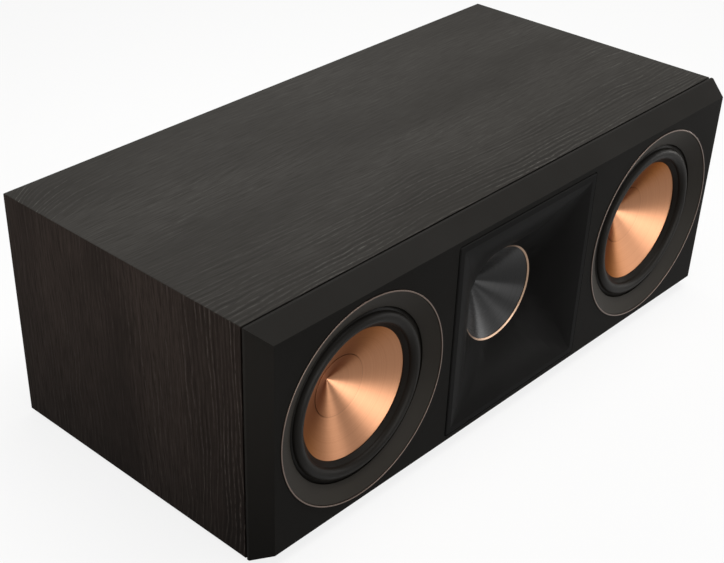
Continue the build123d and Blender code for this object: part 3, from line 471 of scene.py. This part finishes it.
BOARDS = {
    "wood_vinyl": Board(
        along="X",
        dark=(0.0265, 0.0245, 0.0218),
        light=(0.0525, 0.0496, 0.0453),
        pore_highlight=(0.105, 0.101, 0.092),
        specular=0.03,
        sway=30 * MM,
        grain_share=0.85,
        pore_share=0.14,
        curl=25 * MM,
    ),
    "side_vinyl": Board(
        along="Z",
        dark=(0.020, 0.0155, 0.0135),
        light=(0.060, 0.0465, 0.0405),
        pore_highlight=(0.145, 0.125, 0.113),
        specular=0.01,
        sway=50 * MM,
        grain_share=1.0,
        pore_share=0.15,
    ),
}
SPUN = {
    "copper_cone": Spun(
        (0.272, 0.131, 0.071),
        (0.327, 0.16, 0.088),
        roughness=0.36,
        anisotropy=0.6,
        edge=(0.32, 0.19, 0.14),
        seam=CAP_RADIUS,
    ),
    "copper_accent": Spun((0.105, 0.078, 0.064), (0.135, 0.10, 0.083), roughness=0.3),
    "ring_copper": Spun((0.27, 0.18, 0.125), (0.32, 0.215, 0.15), roughness=0.3),
    "throat_plastic": Spun(
        (0.008, 0.0078, 0.0075),
        (0.009, 0.0088, 0.0085),
        roughness=0.28,
        anisotropy=0.8,
        metallic=0.0,
        specular=0.27,
        axis_z=HORN_Z,
    ),
}
MOULDED = {
    "back_vinyl": Moulded((0.018, 0.0175, 0.017), (0.024, 0.023, 0.022), roughness=0.5, specular=0.05),
    "baffle_paint": Moulded(
        (0.0225, 0.0213, 0.0197), (0.0258, 0.0246, 0.023), roughness=0.45, specular=0.01, grain=1500.0
    ),
    "board_wood": Moulded((0.3, 0.2, 0.12), (0.42, 0.3, 0.19), roughness=0.8, specular=0.2, grain=500.0),
    "foot_rubber": Moulded((0.012, 0.012, 0.012), (0.02, 0.02, 0.02), roughness=0.75, specular=0.2),
    "surround_rubber": Moulded(
        (0.016, 0.0143, 0.0122), (0.020, 0.0178, 0.0152), roughness=0.4, specular=0.06, grain=1800.0
    ),
    "foam": Moulded(
        (0.012, 0.012, 0.012), (0.02, 0.02, 0.02), roughness=0.9, specular=0.1, grain=700.0, depth=0.1 * MM
    ),
    "fibre": Moulded(
        (0.45, 0.45, 0.43), (0.62, 0.62, 0.6), roughness=0.95, specular=0.1, grain=300.0, depth=0.5 * MM
    ),
    "trim_plastic": Moulded(
        (0.041, 0.036, 0.030), (0.047, 0.0415, 0.0345), roughness=0.5, specular=0.05, grain=2200.0
    ),
    "coil_wire": Moulded(
        (0.45, 0.17, 0.06),
        (0.62, 0.27, 0.11),
        roughness=0.35,
        specular=0.5,
        grain=400.0,
        depth=0.1 * MM,
        metallic=1.0,
    ),
    "spider_cloth": Moulded(
        (0.42, 0.3, 0.13), (0.56, 0.42, 0.2), roughness=0.9, specular=0.2, grain=1200.0, depth=0.1 * MM
    ),
    "black_steel": Moulded(
        (0.015, 0.015, 0.015), (0.022, 0.022, 0.022), roughness=0.45, specular=0.4, grain=1500.0
    ),
    "plated_steel": Moulded(
        (0.5, 0.49, 0.46), (0.62, 0.61, 0.58), roughness=0.35, specular=0.5, grain=800.0, metallic=1.0
    ),
    "ferrite": Moulded(
        (0.03, 0.03, 0.03), (0.05, 0.05, 0.05), roughness=0.7, specular=0.4, grain=600.0, depth=0.05 * MM
    ),
    "horn_plastic": Moulded(
        (0.018, 0.0175, 0.017), (0.022, 0.0215, 0.021), roughness=0.38, specular=0.01, grain=2400.0
    ),
    "dome_metal": Moulded(
        (0.06, 0.06, 0.063), (0.09, 0.09, 0.094), roughness=0.5, specular=0.5, depth=0.01 * MM, metallic=1.0
    ),
    "black_plastic": Moulded(
        (0.018, 0.018, 0.0175), (0.026, 0.026, 0.025), roughness=0.5, specular=0.15, grain=1300.0
    ),
    "gold_metal": Moulded(
        (0.72, 0.46, 0.16),
        (0.83, 0.58, 0.24),
        roughness=0.25,
        specular=0.5,
        grain=700.0,
        depth=0.01 * MM,
        metallic=1.0,
    ),
    "red_plastic": Moulded((0.35, 0.012, 0.012), (0.45, 0.018, 0.016), roughness=0.3, specular=0.5),
    "cap_plastic": Moulded((0.010, 0.010, 0.010), (0.015, 0.015, 0.015), roughness=0.3, specular=0.5),
    "circuit_board": Moulded(
        (0.05, 0.11, 0.04), (0.08, 0.16, 0.06), roughness=0.5, specular=0.4, grain=500.0
    ),
    "nylon": Moulded((0.66, 0.66, 0.62), (0.76, 0.76, 0.72), roughness=0.5, specular=0.4),
    "capacitor_film": Moulded((0.4, 0.26, 0.03), (0.52, 0.36, 0.06), roughness=0.35, specular=0.5),
    "resistor_ceramic": Moulded((0.7, 0.68, 0.63), (0.82, 0.8, 0.75), roughness=0.8, specular=0.3),
}
# Nodes whose finish isn't the one of their material slot
OWN_FINISH = {
    "left_side_panel": "side_vinyl",
    "right_side_panel": "side_vinyl",
    "horn_accent_ring": "ring_copper",
    "throat_insert": "throat_plastic",
}


def make_finishes():
    """Every material, by the name of its slot or own finish."""
    finishes = {}
    for make, looks in ((wood_vinyl, BOARDS), (moulded, MOULDED), (spun, SPUN)):
        for name, look in looks.items():
            finishes[name] = make(name.replace("_", " "), look)
    return finishes


FINISHES = make_finishes()


def dress_nodes():
    """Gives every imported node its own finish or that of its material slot."""
    for entry in frame["record"]["subparts"]:
        slot = OWN_FINISH.get(entry["node"], entry["material_slot"])
        mesh = frame["nodes"][entry["node"]].data
        mesh.materials.clear()
        mesh.materials.append(FINISHES[slot])


def rounded(points, size):
    """Closed outline with each corner eased by a short curve."""
    eased = []
    for index, corner in enumerate(points):
        corner = Vector(corner)
        before = Vector(points[index - 1]) - corner
        after = Vector(points[(index + 1) % len(points)]) - corner
        reach = min(size, before.length * EDGE_SHARE, after.length * EDGE_SHARE)
        start = corner + before.normalized() * reach
        end = corner + after.normalized() * reach
        eased.append(corner + before.normalized() * reach * SUPPORT_REACH)
        for step in range(CORNER_STEPS + 1):
            share = step / CORNER_STEPS
            eased.append(start.lerp(corner, share).lerp(corner.lerp(end, share), share))
        eased.append(corner + after.normalized() * reach * SUPPORT_REACH)
    return eased


def arc(centre, radius, start, end, steps):
    """Points on a circle between two angles in degrees; 90 points to the front."""
    points = []
    for step in range(steps + 1):
        turn = math.radians(start + (end - start) * step / steps)
        points.append((centre[0] + radius * math.cos(turn), centre[1] - radius * math.sin(turn)))
    return points


def lathe(name, centre, outline, slot):
    """Mesh turned about an axis along Y through a point, from a closed outline in radius and depth."""
    mesh = bmesh.new()
    rows = []
    for radius, depth in outline:
        row = []
        for index in range(SEGMENTS):
            turn = 2 * math.pi * index / SEGMENTS
            row.append(mesh.verts.new((radius * math.cos(turn), depth, radius * math.sin(turn))))
        rows.append(row)
    count = len(rows)
    for low in range(count):
        high = (low + 1) % count
        for left in range(SEGMENTS):
            right = (left + 1) % SEGMENTS
            face = mesh.faces.new((rows[low][left], rows[low][right], rows[high][right], rows[high][left]))
            face.smooth = True
    bmesh.ops.recalc_face_normals(mesh, faces=mesh.faces)
    data = bpy.data.meshes.new(name)
    mesh.to_mesh(data)
    mesh.free()
    data.materials.append(FINISHES[slot])
    piece = bpy.data.objects.new(name, data)
    piece.location = centre
    bpy.context.scene.collection.objects.link(piece)
    return piece


def cone_depth(radius):
    """Depth of the cone's front at a radius."""
    return CONE_LIP_DEPTH + LIP_GLUE + (CONE_LIP - radius) * CONE_SLOPE


def trim_outline():
    """Dished ring with a skirt behind it and a seat for the accent ring."""
    corners = [
        (TRIM_INNER, TRIM_DISH),
        (TRIM_SHOULDER, 0),
        (TRIM_SHOULDER, TRIM_SEAT),
        (TRIM_RADIUS, TRIM_SEAT),
        (TRIM_RADIUS, TRIM_REAR),
        (SKIRT_INNER, TRIM_REAR),
        (SKIRT_INNER, TRIM_UNDER),
        (TRIM_INNER, TRIM_UNDER),
    ]
    return rounded(corners, TRIM_EASE)


def accent_outline():
    """Thin ring that stands proud of the baffle."""
    corners = [
        (ACCENT_INNER, ACCENT_REAR),
        (ACCENT_INNER, -ACCENT_PROUD),
        (TRIM_RADIUS, -ACCENT_PROUD),
        (TRIM_RADIUS, ACCENT_REAR),
    ]
    return rounded(corners, ACCENT_EASE)


def cone_outline():
    """Straight cone from its edge to the voice coil's neck."""
    corners = [
        (CONE_EDGE, cone_depth(CONE_EDGE)),
        (CONE_NECK, cone_depth(CONE_NECK)),
        (CONE_NECK, cone_depth(CONE_NECK) + CONE_WALL),
        (CONE_EDGE, cone_depth(CONE_EDGE) + CONE_WALL),
    ]
    return rounded(corners, CONE_EASE)


def cap_outline():
    """Conical dust cap that carries the cone's slope on to the axis."""
    corners = [
        (CAP_RADIUS, cone_depth(CAP_RADIUS) - CAP_RISE),
        (CAP_TIP, cone_depth(0) - CAP_RISE),
        (CAP_TIP, cone_depth(0) - CAP_GLUE),
        (CAP_RADIUS, cone_depth(CAP_RADIUS) - CAP_GLUE),
    ]
    return rounded(corners, CAP_EASE)


def surround_outline():
    """Half roll with its outer flange and its lip on the cone."""
    base = (ROLL_MIDDLE, ROLL_BASE)
    outline = [(SURROUND_RADIUS, ROLL_BASE - RUBBER)]
    outline += arc(base, ROLL_RADIUS, FLANGE_ANGLE, HALF_TURN, ROLL_FRONT_STEPS)
    outline += [(CONE_LIP, CONE_LIP_DEPTH - RUBBER), (CONE_LIP, CONE_LIP_DEPTH)]
    outline += [(ROLL_MIDDLE - ROLL_RADIUS + RUBBER, ROLL_BASE + LIP_BEND)]
    outline += arc(base, ROLL_RADIUS - RUBBER, HALF_TURN, 0, ROLL_REAR_STEPS)
    outline += [(SURROUND_RADIUS, ROLL_BASE)]
    return outline


def woofer(side):
    """Trim, accent ring, cone, dust cap and surround of one woofer."""
    axis = middle(f"{side}_trim_ring")
    centre = Vector((axis.x, FACE_Y, axis.z))
    moving = f"{side}_cone_assembly"
    rigid = (
        ("trim", "trim_ring", "speaker", trim_outline(), "trim_plastic"),
        ("accent", "accent_ring", "speaker", accent_outline(), "copper_accent"),
        ("spun_cone", "cone", moving, cone_outline(), "copper_cone"),
        ("spun_cap", "dust_cap", moving, cap_outline(), "copper_cone"),
    )
    for name, node, body, outline, slot in rigid:
        piece = lathe(f"{side}_{name}", centre, outline, slot)
        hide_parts(f"{side}_{node}")
        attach(piece, body)
    roll = lathe(f"{side}_roll", Vector((0, 0, 0)), surround_outline(), "surround_rubber")
    roll.data.transform(Matrix.Translation(centre))
    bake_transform(roll, "speaker", moving, centre, centre + Vector((0, CONE_LIP_DEPTH, 0)))
    soften_roll(roll, centre)
    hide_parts(f"{side}_surround")


def smooth_step(share):
    """Share that leaves 0 and reaches 1 gently."""
    return share * share * (3 - 2 * share)


def soften_roll(roll, centre):
    """The roll's outer edge stays on the frame, its lip goes with the cone, and it flexes between."""
    weights = roll.data.attributes["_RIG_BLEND"].data
    outer = ROLL_MIDDLE + ROLL_RADIUS
    inner = ROLL_MIDDLE - ROLL_RADIUS
    for vertex, weight in zip(roll.data.vertices, weights):
        radius = math.hypot(vertex.co.x - centre.x, vertex.co.z - centre.z)
        share = min(max((outer - radius) / (outer - inner), 0), 1)
        weight.value = smooth_step(share)


def floor():
    """Pale studio floor that is white to the eye and in reflections, and keeps a soft shadow."""
    bpy.ops.mesh.primitive_grid_add(x_subdivisions=FLOOR_CELLS, y_subdivisions=FLOOR_CELLS, size=FLOOR_SIZE)
    ground = bpy.context.object
    ground.name = "floor"
    finish = Finish("floor", FLOOR_TONE, FLOOR_ROUGHNESS, specular=0.0)
    light_path = finish.add("LightPath")
    seen = finish.math("MAXIMUM", light_path.outputs["Is Camera Ray"], light_path.outputs["Is Glossy Ray"])
    seen = finish.math("MAXIMUM", seen, light_path.outputs["Is Transmission Ray"])
    finish.colour(finish.blend(seen, FLOOR_TONE, FLOOR_SEEN_TONE))
    glow = finish.add("Emission", Color=(*WHITE, 1), Strength=1.0)
    mix = finish.add("MixShader")
    finish.feed(mix.inputs[0], finish.times(seen, FLOOR_GLOW))
    finish.feed(mix.inputs[1], finish.shader)
    finish.feed(mix.inputs[2], glow)
    finish.feed(finish.tree.nodes["Material Output"].inputs["Surface"], mix)
    ground.data.materials.append(finish.material)


def front_panel(side):
    """Panel in front of a woofer, which its metal shows as a bright sector."""
    x = middle(f"{side}_cone").x + GLINT_SHIFT[side]
    place = (x, GLINT_Y, GLINT_Z)
    target = (x, 0, GLINT_Z)
    return Lamp(place, target, width=0.25, height=0.2, watts=0.215, spread=80, gloss_only=True)


def side_strip(direction):
    """Low strip at one end of the box, which lights the top of its side panel most."""
    place = (0.5 * direction, 0, 0.13)
    target = (0.25 * direction, 0, 0.197)
    return Lamp(place, target, width=0.5, height=0.08, watts=0.19, colour=WARM, spread=100)


LAMPS = {
    "overhead": Lamp(
        (0.2, -0.28, 1.75), (0.05, -0.02, 0.1), width=1.4, height=1.0, watts=26.5, colour=SOFT_WHITE
    ),
    "left front": front_panel("left"),
    "right front": front_panel("right"),
    "front right": Lamp(
        (1.15, -0.92, 0.22), (0, -0.12, 0.09), width=1.0, height=0.4, watts=4.2, gloss_only=True
    ),
    "left": side_strip(-1),
    "right": side_strip(1),
    "back": Lamp(
        (0, 0.45, 0.13), (0, 0.12, 0.22), width=0.7, height=0.08, watts=0.5, colour=CREAM, spread=110
    ),
    "rear top": Lamp(
        (0.2, 0.42, 0.5), (0.12, 0.08, 0.178), width=0.5, height=0.2, watts=0.75, colour=SOFT_WHITE
    ),
}


def softbox(name, lamp):
    """Sets up one rectangular soft light."""
    light = bpy.data.lights.new(name, "AREA")
    light.shape = "RECTANGLE"
    light.size = lamp.width
    light.size_y = lamp.height
    light.energy = lamp.watts
    light.color = lamp.colour
    light.spread = math.radians(lamp.spread)
    stand = bpy.data.objects.new(name, light)
    stand.location = lamp.place
    stand.visible_camera = False
    stand.visible_diffuse = not lamp.gloss_only
    stand.rotation_euler = (Vector(lamp.target) - Vector(lamp.place)).to_track_quat("-Z", "Y").to_euler()
    bpy.context.scene.collection.objects.link(stand)


def world():
    """Dim surroundings that are pale to the eye and in reflections."""
    surroundings = bpy.data.worlds.new("studio")
    bpy.context.scene.world = surroundings
    surroundings.use_nodes = True
    tree = surroundings.node_tree
    light_path = tree.nodes.new("ShaderNodeLightPath")
    seen = light_path.outputs["Is Camera Ray"]
    for ray in ("Is Glossy Ray", "Is Transmission Ray"):
        either = tree.nodes.new("ShaderNodeMath")
        either.operation = "MAXIMUM"
        tree.links.new(seen, either.inputs[0])
        tree.links.new(light_path.outputs[ray], either.inputs[1])
        seen = either.outputs[0]
    level = tree.nodes.new("ShaderNodeMapRange")
    level.inputs["To Min"].default_value = WORLD_LIGHT
    level.inputs["To Max"].default_value = WORLD_SEEN
    tree.links.new(seen, level.inputs["Value"])
    tree.links.new(level.outputs["Result"], tree.nodes["Background"].inputs["Strength"])
    tree.nodes["Background"].inputs["Color"].default_value = (*WHITE, 1)


def camera():
    """Camera at the photograph's viewpoint."""
    data = bpy.data.cameras.new("camera")
    data.lens = LENS
    data.sensor_width = SENSOR
    data.shift_x, data.shift_y = SHIFT
    eye = bpy.data.objects.new("camera", data)
    eye.location = EYE
    eye.rotation_euler = (TILT, 0, TURN)
    bpy.context.scene.collection.objects.link(eye)
    bpy.context.scene.camera = eye


dress_nodes()
for side in SIDES:
    woofer(side)
floor()
for name, lamp in LAMPS.items():
    softbox(name, lamp)
world()
camera()
bpy.context.scene.view_settings.view_transform = "Standard"
